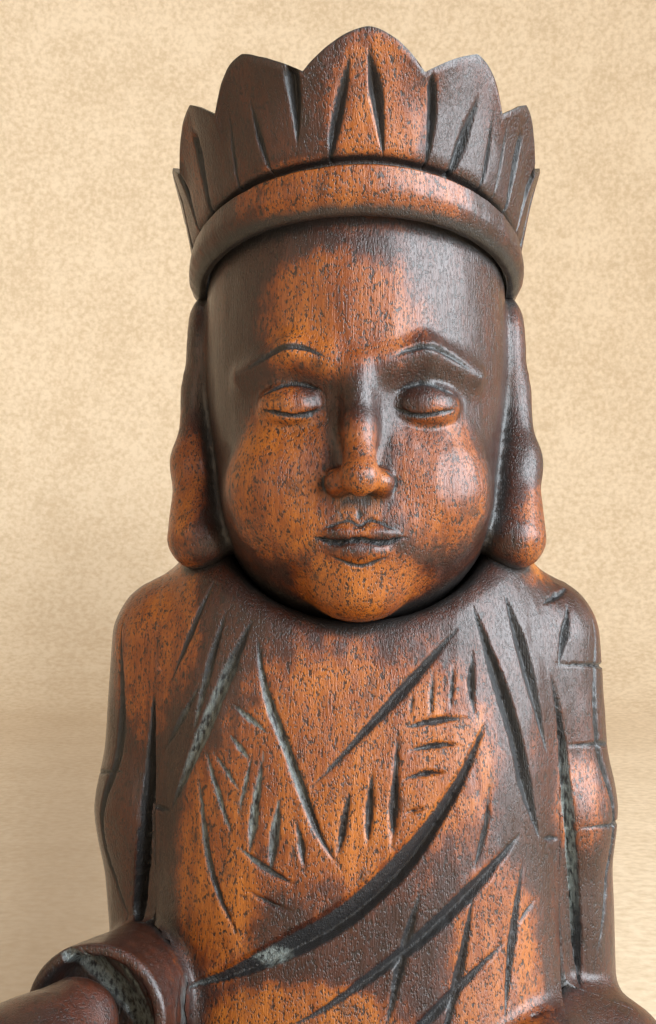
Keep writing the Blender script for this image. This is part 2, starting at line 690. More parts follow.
BACK_STROKES = [
    ([(-28, 190), (-18, 168), (-2, 140), (20, 112), (34, 98)], 4.2, 2.0, (0.3, 0.3), 0.3, 1.0),
    ([(-34, 180), (-26, 156), (-10, 128), (10, 104)], 2.6, 1.4),
    ([(-38, 166), (-32, 140), (-18, 114), (-6, 98)], 2.4, 1.3),
    ([(-16, 186), (-4, 166), (14, 142), (32, 122)], 2.4, 1.3),
    ([(0, 190), (10, 172), (24, 154), (36, 142)], 2.2, 1.2),
    ([(18, 192), (26, 176), (36, 162)], 1.8, 1.0),
    ([(-40, 140), (-36, 118), (-30, 98)], 2.0, 1.0),
    ([(-22, 108), (-16, 98), (-12, 92)], 1.6, 0.8),
    ([(38, 128), (30, 112), (24, 96)], 1.6, 0.8),
]


def raised(level, side, *places):
    """Chart points given by their distance to one side and their height above a level."""
    return [(side * x, level + rise) for x, rise in places]


def side_of_face(side):
    """Lash line, lid fold, brow and nostril wing of one side."""
    wide = EYE_WIDTH
    lash = raised(EYE_Z, side, (wide * 0.52, -0.6), (wide * 0.8, -2.3), (wide * 1.1, -2.5), (wide * 1.55, -0.9))
    lid = raised(EYE_Z, side, (wide * 0.5, 2.2), (wide, 4.4), (wide * 1.6, 1.6))
    brow = raised(BROW_Z, side, (6.2, 0.4), (10, 2.6), (16, 3.2), (25, -1.6))
    wing = raised(NOSE_Z, side, (4.6, 5.6), (7.6, 3), (6.6, -0.4))
    return [
        (lash, 1.2, 0.9, (0.2, 0.25)),
        (lid, 1.1, 0.7, (0.3, 0.3)),
        (brow, 1.7, 0.8, (0.3, 0.4)),
        (wing, 1.1, 0.8),
    ]


FACE_STROKES = side_of_face(-1) + side_of_face(1) + [
    # lips, the fold under the lower one and the philtrum
    (raised(MOUTH_Z, 1, (-9.8, 0.9), (-5, -0.5), (0, 0.1), (5, -0.5), (9.8, 0.9)), 1.2, 1.0, (0.15, 0.15)),
    (raised(MOUTH_Z, 1, (-9.4, 1.4), (-3, 4.0), (0, 3.2), (3, 4.0), (9.4, 1.4)), 0.9, 0.45, (0.2, 0.2)),
    (raised(MOUTH_Z, 1, (-7.2, -2.6), (0, -5.2), (7.2, -2.6)), 1.0, 0.45, (0.3, 0.3)),
    ([(0, NOSE_Z - 2.2), (0, MOUTH_Z + 3.8)], 1.8, 0.5),
]

# Strands of hair below the crown at the back, on the chart of (x, z).
HAIR_STROKES = [
    ([(x, 246 - 0.02 * x * x), (x * 0.96, 228), (x * 0.86, 208)], 1.7, 0.9, (0.2, 0.4))
    for x in np.arange(-28, 29, 4.0)
]

LAP_STROKES = [
    # folds round the shins and over the knees, on the chart of (x, z)
    ([(-92, 66), (-70, 62), (-40, 60), (-8, 58), (22, 60)], 4.6, 2.3, (0.35, 0.35), 0.4, 0.8),
    ([(-90, 54), (-66, 49), (-36, 47), (-6, 48)], 4.0, 2.0),
    ([(-84, 76), (-62, 73), (-36, 69), (-12, 66)], 3.4, 1.8),
    ([(-76, 42), (-56, 39), (-40, 38)], 2.0, 1.0),
    ([(92, 62), (72, 56), (50, 50), (26, 44)], 4.4, 2.2, (0.35, 0.35), -0.4, 0.8),
    ([(88, 74), (72, 70), (58, 62), (44, 54)], 3.6, 1.9),
    ([(84, 48), (62, 42), (34, 38), (4, 38)], 3.6, 1.9),
    ([(-24, 40), (0, 37.5), (30, 38)], 2.0, 1.0),
]

LAP_TOP_STROKES = [
    # folds that fan out over the thighs, on the chart of (x, y)
    ([(-24, -34), (-46, -40), (-70, -52)], 4.0, 2.0),
    ([(-30, -22), (-56, -24), (-84, -38)], 4.4, 2.2, (0.4, 0.4), 0.4, 0.8),
    ([(-42, -8), (-66, -12), (-90, -30)], 3.6, 1.9),
    ([(-50, 6), (-70, 0), (-84, -14)], 2.0, 1.1),
    ([(30, -30), (50, -38), (74, -56)], 4.0, 2.0),
    ([(54, -22), (70, -26), (88, -44)], 4.2, 2.1, (0.4, 0.4), -0.4, 0.8),
    ([(58, -4), (74, -10), (92, -30)], 3.6, 1.9),
    ([(54, 12), (70, 4), (86, -12)], 2.0, 1.1),
    ([(-18, -48), (-2, -54), (16, -66)], 2.2, 1.1),
]

LAP_BACK_STROKES = [
    ([(x, 84), (x * 1.05, 66), (x * 1.12, 46)], 2.2, 1.1) for x in (-40, -24, -8, 8, 24, 40)
]

HAND_STROKES = [
    ([(x, 112), (x - 2, 104), (x - 5, 96)], 0.8, 0.35) for x in (-60, -66, -72)
]


def facing(value, start=0.1, end=0.45):
    """0 where a surface turns away from a chart's direction, 1 where it faces it."""
    return np.clip((value - start) / (end - start), 0, 1)


def charts(p, normal, measure, front=(), back=(), left=(), right=(), top=()):
    """What measure says of the strokes of several charts, each on the side that faces it."""
    total = np.zeros(len(p))
    layers = (
        (front, (0, 2), -normal[:, 1]),
        (back, (0, 2), normal[:, 1]),
        (left, (1, 2), normal[:, 0]),
        (right, (1, 2), -normal[:, 0]),
        (top, (0, 1), normal[:, 2]),
    )
    for strokes, columns, direction in layers:
        if len(strokes):
            layer = measure(p[:, columns], strokes) * facing(direction)
            total = np.where(np.abs(layer) > np.abs(total), layer, total)
    return total


# ---------------------------------------------------------------- building pieces


def put_mesh(name, points, corners, starts, figure=True):
    """A mesh object from millimetre points. Points of the figure are moved back with its trunk."""
    shift = vec(0, TRUNK_Y, 0) if figure else vec(0, 0, 0)
    coordinates = ((points + shift) * MM).astype(np.float32)
    mesh = bpy.data.meshes.new(name)
    mesh.vertices.add(len(points))
    mesh.vertices.foreach_set("co", coordinates.ravel())
    mesh.loops.add(len(corners))
    mesh.loops.foreach_set("vertex_index", corners.astype(np.int32))
    mesh.polygons.add(len(starts))
    mesh.polygons.foreach_set("loop_start", starts.astype(np.int32))
    mesh.update(calc_edges=True)
    mesh.validate()
    mesh.shade_smooth()
    mesh.set_sharp_from_angle(angle=math.radians(75))
    piece = bpy.data.objects.new(name, mesh)
    bpy.context.scene.collection.objects.link(piece)
    return piece


def all_quads(quads):
    """Quads as a flat list of corners and the place where each face starts."""
    return quads.reshape(-1), np.arange(0, quads.size, 4)


def put_values(piece, **fields):
    """Stores one number per point under each name, for the material to read."""
    for name, values in fields.items():
        attribute = piece.data.attributes.new(name, "FLOAT", "POINT")
        attribute.data.foreach_set("value", np.asarray(values, dtype=np.float32))


def shelter(p, normal, field):
    """How enclosed each point is by a field, from 0 in the open to 1 deep in a corner."""
    total = np.zeros(len(p))
    for reach, share in ((1.2, 0.3), (3.0, 0.35), (7.0, 0.35)):
        total += share * (1 - np.clip(field(p + normal * reach) / reach, 0, 1))
    return total


def whole_figure(p):
    """Everything that can shade a point of the figure."""
    body = np.minimum(robe(p), head(p))
    body = np.minimum(body, np.minimum(legs(p), right_hand(p)))
    return np.minimum(body, np.minimum(left_hand(p), crown_field(p)))


def tool_marks(p):
    """Low facets that the gouge leaves on every surface, longer along the grain."""
    broad = noise(p, (0.22, 0.22, 0.09))
    fine = noise(p, (0.6, 0.6, 0.2), 5.3)
    return 0.16 * np.abs(broad) + 0.06 * fine


# Places that hands and dusting have rubbed bright: middle and reach of each.
RUBBED = [
    ((-2, -34, 152), (40, 30, 34)),
    ((-30, -28, 132), (13, 20, 30)),
    ((4, -40, 285), (15, 12, 20)),
    ((0, -34, 270), (34, 14, 9)),
    ((-6, -34, 246), (26, 14, 16)),
    ((-17, -30, 212), (15, 14, 22)),
    ((17, -30, 212), (13, 14, 20)),
    ((0, -38, 212), (8, 12, 16)),
    ((0, -30, 188), (22, 14, 12)),
    ((30, -30, 112), (16, 16, 26)),
    ((-12, -34, 100), (26, 16, 10)),
    ((-44, -8, 178), (14, 18, 26)),
    ((-40, -4, 210), (9, 18, 20)),
    ((40, -6, 200), (9, 16, 14)),
    ((-84, -78, 100), (14, 14, 10)),
    ((76, -54, 76), (26, 26, 18)),
    ((-76, -54, 76), (26, 26, 18)),
    ((4, -88, 60), (60, 12, 16)),
    ((0, 38, 160), (34, 16, 40)),
    ((0, 40, 232), (22, 14, 26)),
    ((48, 0, 140), (9, 22, 16)),
]


# Places where pale polishing wax has stayed in the cuts.
WAXED = [
    ((-50, -46, 106), (24, 40, 20)),
    ((46.5, -20, 128), (3, 40, 30)),
    ((-26, -30, 152), (18, 24, 26)),
    ((-18, -34, 113), (5, 16, 2.5)),
]


def within(p, places):
    """1 in the middle of any of some places, fading to 0 at their reach."""
    total = np.zeros(len(p))
    for middle, reach in places:
        total = np.maximum(total, 1 - (((p - vec(*middle)) / vec(*reach)) ** 2).sum(axis=1))
    return np.clip(total * 1.3, 0, 1)


def wobble(points, axes):
    """A slight waver that keeps the edges of strokes from running ruler straight."""
    return 0.14 * np.stack([noise(points, (1.1, 1.1, 0.7), shift) for shift in (1.7, 9.2, 4.4)[:axes]], axis=1)


def finish_piece(name, points, corners, starts, normal, depth, shade, nodes):
    """Cuts the strokes into a piece, stores its stain values and hands it to the frame."""
    carved = points - normal * (depth + tool_marks(points))[:, None]
    piece = put_mesh(name, carved, corners, starts)
    put_values(
        piece,
        groove=np.clip(depth / 0.3, 0, 1),
        deep=np.clip(depth / 2, 0, 1),
        shade=shade,
        rub=within(points, RUBBED),
        wax=within(points, WAXED) * np.clip(depth / 0.5, 0, 1),
    )
    piece.data.materials.append(material_of("carved_wood"))
    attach(piece, "root")
    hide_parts(*nodes)


def carved_block(name, field, node, cell, seams=None, margin=3.0, also=None, **strokes):
    """One wooden block: its field inside the box of its CAD node, meshed finely where strokes are.

    seams are the field of the whole carving and the glue faces that cut this block out of it. also
    is a test that names more points where the mesh has to be fine.
    """
    low, high = (vec(*corner) / MM - vec(0, TRUNK_Y, 0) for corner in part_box(node))
    points, quads, normal = coarse_mesh(field, low - margin, high + margin, cell)
    if seams:
        points = snapped(points, *seams, 0.6 * cell)
    near = charts(points, normal, touched, **strokes) > 0
    if also:
        near = near | also(points)
    table = np.column_stack([points, shelter(points, normal, whole_figure)])
    table, corners, starts = refine(table, quads, near[quads].any(axis=1), PARTS)
    points, normal = onto(table[:, :3], field, 2)
    if seams:
        points = snapped(points, *seams, 0.6 * cell / PARTS)
        value = seams[0](points)
        open_face = np.abs(value) < 0.12
        normal = np.where(open_face[:, None], unit(slope_of(points, seams[0], value)), 0)
    depth = charts(points + wobble(points, 3), normal, cuts, **strokes)
    finish_piece(name, points, corners, starts, normal, depth, table[:, 3], [node])


# ---------------------------------------------------------------- materials


class Graph:
    """A small helper to write node trees as expressions."""

    def __init__(self, name):
        self.material = bpy.data.materials.new(name)
        self.material.use_nodes = True
        self.tree = self.material.node_tree
        self.shader = self.tree.nodes["Principled BSDF"]

    def node(self, kind, inputs=(), **settings):
        made = self.tree.nodes.new(kind)
        for key, value in settings.items():
            setattr(made, key, value)
        for key, value in dict(inputs).items():
            self.set(made.inputs[key], value)
        return made

    def set(self, socket, value):
        if isinstance(value, bpy.types.NodeSocket):
            self.tree.links.new(value, socket)
        else:
            socket.default_value = value

    def math(self, operation, *values):
        return self.node("ShaderNodeMath", enumerate(values), operation=operation).outputs[0]

    def stretched(self, scale):
        """Object coordinates in metres, times a scale on each axis."""
        place = self.node("ShaderNodeTexCoord").outputs["Object"]
        return self.node("ShaderNodeVectorMath", {0: place, 1: scale}, operation="MULTIPLY").outputs[0]

    def noise(self, scale, detail=3.0, roughness=0.55):
        inputs = {"Vector": self.stretched(scale), "Scale": 1.0, "Detail": detail, "Roughness": roughness}
        return self.node("ShaderNodeTexNoise", inputs).outputs["Fac"]

    def cells(self, scale):
        inputs = {"Vector": self.stretched(scale), "Scale": 1.0}
        return self.node("ShaderNodeTexVoronoi", inputs).outputs["Distance"]

    def span(self, value, low, high, to_low=0.0, to_high=1.0):
        inputs = {"Value": value, "From Min": low, "From Max": high, "To Min": to_low, "To Max": to_high}
        return self.node("ShaderNodeMapRange", inputs).outputs["Result"]

    def ramp(self, value, stops):
        made = self.node("ShaderNodeValToRGB", {"Fac": value})
        elements = made.color_ramp.elements
        while len(elements) < len(stops):
            elements.new(0.5)
        for element, (place, color) in zip(elements, stops):
            element.position = place
            element.color = (*color, 1.0)
        return made.outputs["Color"]

    def mix(self, share, a, b):
        made = self.node("ShaderNodeMix", data_type="RGBA")
        for index, value in ((0, share), (6, a), (7, b)):
            self.set(made.inputs[index], (*value, 1.0) if isinstance(value, tuple) else value)
        return made.outputs[2]

    def value(self, name):
        return self.node("ShaderNodeAttribute", attribute_name=name).outputs["Fac"]

    def bump(self, height, strength, distance):
        inputs = {"Height": height, "Strength": strength, "Distance": distance}
        return self.node("ShaderNodeBump", inputs).outputs["Normal"]

    def surface(self, values):
        """Sets inputs of the shader and returns the finished material."""
        for name, value in values.items():
            self.set(self.shader.inputs[name], value)
        return self.material


def carved_wood():
    """Stained hardwood under varnish: near black in the cuts, rubbed to orange where it is handled."""
    g = Graph("carved_wood_finish")
    streaks = g.noise((330, 330, 30), detail=4)
    patches = g.noise((55, 55, 34), detail=3)
    fibres = g.noise((2200, 2200, 130), detail=3)
    blotches = g.noise((210, 210, 150), detail=4, roughness=0.7)

    # brown stain, lighter where it is rubbed, in streaks along the grain
    ragged = g.math("ADD", g.value("rub"), g.span(blotches, 0.3, 0.7, -0.34, 0.34))
    warm = g.math("MULTIPLY", g.span(ragged, 0.08, 0.72), 0.60)
    warm = g.math("ADD", warm, g.span(patches, 0.3, 0.7, -0.18, 0.28))
    warm = g.math("ADD", warm, g.span(streaks, 0.3, 0.7, -0.12, 0.14))
    warm = g.math("ADD", warm, g.span(fibres, 0.3, 0.7, -0.09, 0.09))
    color = g.ramp(
        warm,
        [
            (0.0, (0.026, 0.0065, 0.003)),
            (0.28, (0.058, 0.0125, 0.004)),
            (0.55, (0.180, 0.040, 0.0045)),
            (0.9, (0.345, 0.098, 0.0075)),
        ],
    )

    # short dark pores and blots of stain
    pores = g.span(g.cells((1900, 1900, 1000)), 0.20, 0.36)
    sparse = g.span(blotches, 0.36, 0.50)
    pores = g.math("MAXIMUM", pores, g.math("SUBTRACT", 1.0, sparse))
    specks = g.span(g.noise((1500, 1500, 760), detail=2), 0.35, 0.44)
    pores = g.math("MINIMUM", pores, specks)
    color = g.mix(g.span(pores, 0, 1, 0.94, 0.0), color, (0.012, 0.005, 0.003))
    blots = g.span(blotches, 0.58, 0.72, 0.0, 0.75)
    color = g.mix(blots, color, (0.020, 0.008, 0.005))

    # black stain left in the cuts and corners
    shade = g.math("ADD", g.value("shade"), g.span(blotches, 0.3, 0.7, -0.16, 0.16))
    corner = g.span(shade, 0.26, 0.74)
    groove = g.value("groove")
    color = g.mix(g.math("MULTIPLY", corner, 0.93), color, (0.013, 0.011, 0.010))
    color = g.mix(g.span(groove, 0.15, 0.8, 0.0, 0.97), color, (0.015, 0.015, 0.016))
    crumbs = g.span(g.noise((1300, 1300, 420), detail=3), 0.36, 0.56)
    color = g.mix(g.math("MULTIPLY", g.value("wax"), crumbs), color, (0.200, 0.220, 0.205))

    rough = g.span(streaks, 0.3, 0.7, 0.30, 0.44)
    rough = g.math("ADD", rough, g.math("MULTIPLY", g.math("MAXIMUM", groove, corner), 0.10))
    torn = g.math("ABSOLUTE", g.math("SUBTRACT", fibres, 0.5))
    torn = g.math("MULTIPLY", torn, g.span(g.value("deep"), 0.0, 0.3, 1.8, 4.0))
    height = g.math("ADD", g.math("MULTIPLY", pores, 0.5), torn)
    return g.surface({
        "Base Color": color,
        "Roughness": rough,
        "Normal": g.bump(height, 0.6, 0.0003),
        "Specular IOR Level": 0.42,
        "Coat Weight": 0.30,
        "Coat Roughness": 0.22,
    })


def dowel_wood():
    g = Graph("dowel_wood_finish")
    grain = g.noise((700, 700, 40), detail=3)
    color = g.ramp(grain, [(0.35, (0.36, 0.20, 0.09)), (0.65, (0.58, 0.38, 0.20))])
    rough = g.span(grain, 0.3, 0.7, 0.5, 0.7)
    return g.surface({"Base Color": color, "Roughness": rough, "Normal": g.bump(grain, 0.2, 0.0001)})


def screw_steel():
    g = Graph("screw_steel_finish")
    drawn = g.noise((3000, 3000, 120), detail=2)
    color = g.ramp(drawn, [(0.3, (0.42, 0.42, 0.41)), (0.7, (0.62, 0.62, 0.60))])
    return g.surface({"Base Color": color, "Roughness": g.span(drawn, 0.3, 0.7, 0.25, 0.45), "Metallic": 1.0})


def felt():
    g = Graph("felt_finish")
    fuzz = g.noise((2600, 2600, 2600), detail=4, roughness=0.7)
    color = g.ramp(fuzz, [(0.3, (0.018, 0.026, 0.016)), (0.7, (0.045, 0.062, 0.040))])
    normal = g.bump(fuzz, 0.6, 0.0004)
    return g.surface({"Base Color": color, "Normal": normal, "Roughness": 0.95, "Sheen Weight": 0.4})


MAKERS = {"carved_wood": carved_wood, "dowel_wood": dowel_wood, "screw_steel": screw_steel, "felt": felt}


def material_of(slot):
    """The material of a slot, made when it is first asked for."""
    return bpy.data.materials.get(f"{slot}_finish") or MAKERS[slot]()


# ---------------------------------------------------------------- lofted pieces


def wrapped(rows, columns):
    """Quads of a grid that closes on itself both ways."""
    i, j = np.meshgrid(np.arange(rows), np.arange(columns), indexing="ij")
    a = i * columns + j
    b = i * columns + (j + 1) % columns
    c = (i + 1) % rows * columns + (j + 1) % columns
    d = (i + 1) % rows * columns + j
    return np.stack([a, b, c, d], axis=-1).reshape(-1, 4)


def grid_normals(points, rows, columns):
    """Outward normals of a closed grid, from the steps along its two directions."""
    grid = points.reshape(rows, columns, 3)
    across = np.roll(grid, -1, axis=0) - np.roll(grid, 1, axis=0)
    along = np.roll(grid, -1, axis=1) - np.roll(grid, 1, axis=1)
    return unit(np.cross(across, along)).reshape(-1, 3)


def capped(rings, around, low, high):
    """A stack of rings closed at both ends round a centre point: the points and the quads."""
    rows = len(rings) // around
    points = np.concatenate([rings, vec(0, 0, low)[None], vec(0, 0, high)[None]])
    quads = wrapped(rows, around)[: (rows - 1) * around]
    j = np.arange(0, around, 2)
    one, two = (j + 1) % around, (j + 2) % around
    start = (rows - 1) * around
    first = np.stack([j, np.full(len(j), len(rings)), two, one], axis=1)
    last = np.stack([start + j, start + one, start + two, np.full(len(j), len(rings) + 1)], axis=1)
    faces = np.concatenate([quads, first, last])
    a, b, c = (points[faces[:, k]] for k in range(3))
    outward = (np.cross(b - a, c - a) * (points[faces].mean(axis=1) - vec(0, 0, (low + high) / 2))).sum(axis=1)
    return points, faces[:, ::-1] if np.median(outward) < 0 else faces


LEAF_TIPS = np.radians([0, 35.5, 60, 88, 118, 149, 180])  # round from the front
NOTCH = 7.6  # how far the notches dip below the line of the tips
CROWN_INNER = vec(33.6, 34.6)  # half width and half depth of the crown's inside
CROWN_Y = 1.5  # the middle of the crown, behind the figure's axis
CROWN_ARC = 39.0  # a stroke on the crown that is this long across spans one radian


def crown_heights(turn):
    """Foot, groove and leaf outline of the crown at an angle round from the front, and how far that
    place is from the nearest tip: -1 at the notch in front of it, 1 at the notch behind it."""
    turn = np.abs(turn - 0.045 * np.maximum(0, 1 - np.abs(turn) / 0.6))
    foot = 254 + 11.5 * np.cos(turn)
    groove = foot + 6 + 4.6 * np.maximum(0, np.cos(turn))
    place = np.interp(turn, LEAF_TIPS, np.arange(len(LEAF_TIPS)))
    off = (place - np.round(place)) * 2
    power = np.where(place < 0.5, 1.7, np.where(off < 0, 1.1, 2.5))
    tip_line = 302 - 14 * (1 - np.cos(turn)) - 5.5 * np.sin(turn) ** 4
    return foot, groove, tip_line - NOTCH * np.abs(off) ** power, off


CROWN_STROKES = [
    ([(-13.6, 294.5), (-13.2, 287), (-13.4, 279.6)], 3.4, 2.0, (0.02, 0.8)),
    ([(-1.8, 296.4), (-4.4, 285.5), (-6.6, 275.4)], 2.6, 1.7, (0.4, 0.3), 0.35),
    ([(1.6, 297.8), (3.6, 288), (5.2, 276.8)], 3.2, 2.0, (0.35, 0.6), 0.35),
    ([(14.2, 293.4), (15.3, 285), (14.6, 274)], 2.3, 1.6, (0.1, 0.6)),
    ([(26.0, 290.5), (23.0, 281), (19.4, 270.5)], 2.7, 1.8, (0.4, 0.4), -0.3),
    ([(30.2, 288.5), (30.6, 279), (29.0, 269)], 1.4, 0.9),
    ([(34.5, 290.0), (35.0, 278), (34.0, 268)], 1.0, 0.5),
    ([(-29.0, 289.0), (-29.4, 279), (-29.0, 269)], 1.1, 0.6),
    ([(-23.4, 289.5), (-21.8, 281), (-19.6, 273.5)], 1.6, 1.0),
    ([(40.8, 285.5), (40.5, 274), (40.2, 266)], 2.6, 1.7, (0.05, 0.7)),
    ([(-40.8, 285.5), (-40.4, 276), (-40.0, 266)], 3.0, 1.9, (0.05, 0.7)),
    ([(-51.5, 286), (-50.0, 276), (-47.0, 264)], 2.2, 1.4),
    ([(-57.0, 286), (-56.4, 276), (-55.0, 262)], 2.0, 1.2),
    ([(50.0, 286), (49.6, 276), (48.4, 264)], 2.0, 1.2),
    ([(57.0, 286), (56.0, 274), (53.6, 261)], 2.0, 1.2),
] + [
    # three strokes on each leaf of the sides and the back
    ([(side * (tip + first) * CROWN_ARC, high), (side * (tip + last) * CROWN_ARC, low)], *shape)
    for side in (-1, 1)
    for tip in LEAF_TIPS[3:6]
    for first, last, high, low, *shape in (
        (0.26, 0.26, 272, 258, 2.8, 1.8, (0.05, 0.7)),
        (-0.12, -0.1, 276, 254, 2.2, 1.4),
        (0.1, 0.09, 274, 253, 2.0, 1.2),
    )
]


def crown_field(p):
    """A rough solid of the crown, only to find what it shades."""
    turn = np.arctan2(p[:, 0], -(p[:, 1] - CROWN_Y))
    foot, _, top, _ = crown_heights(turn)
    ring = np.hypot(p[:, 0] / (CROWN_INNER[0] + 2.5), (p[:, 1] - CROWN_Y) / (CROWN_INNER[1] + 2.5))
    ring = np.abs(ring - 1) * 36 - 2.5
    return np.maximum(ring, np.maximum(foot - p[:, 2], p[:, 2] - top))


def crown():
    """Head band and leaves, lofted round the head."""
    around = 1150
    # corners of the section: 0 at the foot, 1 at the groove, 2 at the tips; distance outwards
    outer = smooth_rows(
        [
            (0, 0.6), (0.0, 1.8), (0.12, 2.9), (0.45, 4.3), (0.84, 4.1), (0.93, 3.7), (0.97, 1.5),
            (1.02, 1.2), (1.08, 3.3), (1.3, 4.2), (1.65, 5.4), (1.95, 7.2),
        ],
        66,
    )
    rim = np.array([(2.0, 7.1), (2.0, 6.0), (1.98, 4.8)])
    inner = smooth_rows([(1.9, 4.2), (1.5, 2.2), (1.1, 0.9), (0.5, 0.5), (0.0, 0.4)], 16)
    section = np.concatenate([outer, rim, inner])
    rows = len(section)
    turn = np.linspace(-math.pi, math.pi, around, endpoint=False)
    foot, groove, top, off = crown_heights(turn)
    up, out = section[:, 0][:, None], section[:, 1][:, None]
    low = foot + (groove - foot) * np.minimum(up, 1)
    height = np.where(up <= 1, low, groove + (top - groove) * (up - 1))
    leaf = np.clip((up - 1) * 1.4, 0, 1) * (1 - off**2)
    out = out + 0.9 * leaf * (out > 1.2)
    x = np.sin(turn) * (CROWN_INNER[0] + out)
    y = CROWN_Y - np.cos(turn) * (CROWN_INNER[1] + out)
    points = np.stack([x, y, height], axis=-1).reshape(-1, 3)
    normal = grid_normals(points, rows, around)
    quads = wrapped(rows, around)
    sideways = points * vec(1, 1, 0) - vec(0, CROWN_Y, 0)
    if (normal * sideways)[20 * around : 30 * around].sum() < 0:
        normal = -normal
        quads = quads[:, ::-1]
    row = np.repeat(np.arange(rows), around)
    level = np.repeat(section[:, 0], around)
    chart = np.stack([np.tile(turn, rows) * CROWN_ARC, points[:, 2]], axis=1)
    outside = row < len(outer)
    depth = cuts(chart + wobble(points, 2), CROWN_STROKES) * (outside & (level > 1.02))
    in_groove = np.clip(1.6 - np.abs(level - 1.0) / 0.055, 0, 1) * outside
    under = np.clip((0.34 - level) / 0.30, 0, 1) * outside
    hollow = np.where(outside, 0, 0.75)
    shade = np.maximum(np.maximum(under, hollow), in_groove)
    finish_piece("carved_crown", points, *all_quads(quads), normal, depth, shade, ["crown"])


PLINTH = {"half_width": 106.0, "half_depth": 72.0, "bottom": 1.8, "top": 34.0, "power": 2.3, "petals": 16}


def oval(turn, inset):
    """A point of the plinth's outline, moved in from the rim."""
    s, c = np.sin(turn), -np.cos(turn)
    power = PLINTH["power"]
    round_ = (np.abs(s) ** power + np.abs(c) ** power) ** (-1 / power)
    return s * round_ * (PLINTH["half_width"] - inset), c * round_ * (PLINTH["half_depth"] - inset)


def plinth():
    """Two rows of lotus petals round a waist."""
    around = 1600
    profile = smooth_rows(
        [
            (0.0, 4.0), (0.01, 1.6), (0.08, 0.9), (0.12, 2.2), (0.15, 2.2), (0.2, 1.0), (0.3, 3.4),
            (0.4, 8.0), (0.46, 11.8), (0.5, 12.4), (0.54, 11.8), (0.6, 8.0), (0.7, 3.8), (0.8, 1.6),
            (0.87, 1.2), (0.9, 4.4), (0.94, 5.2), (0.99, 5.4), (1.0, 7.0),
        ],
        90,
    )
    turn = np.linspace(-math.pi, math.pi, around, endpoint=False)
    up, inset = profile[:, 0][:, None], profile[:, 1][:, None]
    depth = np.zeros((len(profile), around))
    for low, high, flips, shift in ((0.17, 0.47, True, 0.0), (0.53, 0.88, False, 0.5)):
        share = np.clip((up - low) / (high - low), 0, 1)
        reach = 1 - share if flips else share
        place = turn * PLINTH["petals"] / (2 * math.pi) + shift
        off = np.abs(place - np.round(place)) * 2
        inside = (up > low) & (up < high)
        edge = np.sqrt(np.clip(1 - (np.clip(reach, 0, 1) * 0.98) ** 3.2, 0, 1)) * 0.94
        gap = off - edge
        body = 1.5 * np.clip(gap / 0.25, 0, 1) - 0.9 * np.clip(1 - (off / np.maximum(edge, 0.05)) ** 2, 0, 1)
        line = 1.3 * np.exp(-((gap / 0.07) ** 2))
        rib = 0.8 * np.exp(-((off / 0.07) ** 2)) * np.clip(1 - reach * 1.3, 0, 1)
        depth += np.where(inside, np.sin(np.pi * np.clip(share, 0, 1)) ** 0.4 * (body + line + rib), 0)
    x, y = oval(turn, inset + 0.6)
    z = PLINTH["bottom"] + up * (PLINTH["top"] - PLINTH["bottom"]) + 0 * x
    points = np.stack([x, y, z], axis=-1).reshape(-1, 3)
    normal = np.stack([x, y, 0 * x], axis=-1).reshape(-1, 3)
    normal /= np.linalg.norm(normal, axis=1)[:, None]
    flat_rows = np.array([0.985, 0.93, 0.8, 0.6, 0.4, 0.2])
    caps = []
    for height, rows in ((PLINTH["top"], flat_rows), (PLINTH["bottom"], flat_rows[::-1])):
        edge_x, edge_y = oval(turn, 8.0)
        caps.append([np.stack([edge_x * r, edge_y * r, 0 * edge_x + height], axis=-1) for r in rows])
    top_rows, low_rows = np.concatenate(caps[0]), np.concatenate(caps[1])
    all_points, faces = capped(
        np.concatenate([low_rows, points, top_rows]), around, PLINTH["bottom"], PLINTH["top"]
    )
    up_row = np.zeros((len(top_rows), 3)) + vec(0, 0, 1)
    down_row = np.zeros((len(low_rows), 3)) - vec(0, 0, 1)
    normals = np.concatenate([down_row, normal, up_row, vec(0, 0, -1)[None], vec(0, 0, 1)[None]])
    cut_depth = np.concatenate([np.zeros(len(low_rows)), depth.reshape(-1), np.zeros(len(top_rows) + 2)])
    marks = tool_marks(all_points) * (np.abs(normals[:, 2]) < 0.5)
    carved = all_points - normals * (cut_depth + marks)[:, None]
    carved[:, 2] = np.clip(carved[:, 2], PLINTH["bottom"], PLINTH["top"])
    piece = put_mesh("carved_plinth", carved, *all_quads(faces), figure=False)
    waist = np.exp(-(((all_points[:, 2] - 18) / 4.0) ** 2)) * (np.abs(normals[:, 2]) < 0.5)
    near_figure = shelter(all_points - vec(0, TRUNK_Y, 0), normals, legs) * (normals[:, 2] > 0.5)
    put_values(
        piece,
        groove=np.clip((cut_depth - 0.6) / 1.2, 0, 1),
        deep=np.clip(cut_depth / 3, 0, 1),
        shade=np.maximum(0.5 * waist, near_figure),
        rub=np.clip(-cut_depth + 0.25 * np.abs(normals[:, 2]), 0, 1),
    )
    piece.data.materials.append(material_of("carved_wood"))
    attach(piece, "root")
    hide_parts("lotus_plinth")


